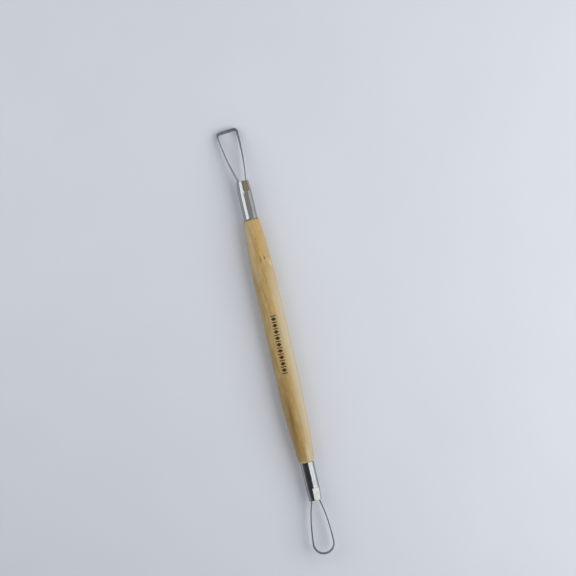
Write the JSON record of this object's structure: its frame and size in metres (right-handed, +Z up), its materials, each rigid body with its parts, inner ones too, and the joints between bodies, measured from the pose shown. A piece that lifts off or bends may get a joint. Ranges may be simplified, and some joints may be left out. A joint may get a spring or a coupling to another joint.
{
  "type": "loop trimming tool",
  "caption": "Double-ended ribbon tool for trimming clay: a turned wooden handle with a crimped metal ferrule at each end, one holding a square-ended steel loop and one a pear-shaped loop.",
  "frame": {"origin": "on the handle's axis, midway between the two ferrules", "axes": "+X along the handle towards the pear-shaped loop, +Y sideways in the plane of the loops, away from their lean, +Z up, square to the loops, when the tool lies flat"},
  "size_m": [0.2029, 0.0124, 0.011],
  "materials": {
    "lacquered_wood": "straight-grained pale hardwood under thin clear lacquer",
    "nickel_plate": "bright nickel plate, lightly drawn lengthwise",
    "ribbon_steel": "cold-rolled steel ribbon, dull grey with bright edges",
    "set_glue": "clear amber resin, set hard",
    "printing_ink": "matt black ink, printed straight on the wood"
  },
  "bodies": {
    "root": {"handle": "lacquered_wood", "ferrule_square_end": "nickel_plate", "ferrule_pear_end": "nickel_plate", "ribbon_square_loop": "ribbon_steel", "ribbon_pear_loop": "ribbon_steel", "glue_square_end": "set_glue", "glue_pear_end": "set_glue", "printed_band": "printing_ink"}
  },
  "joints": []
}
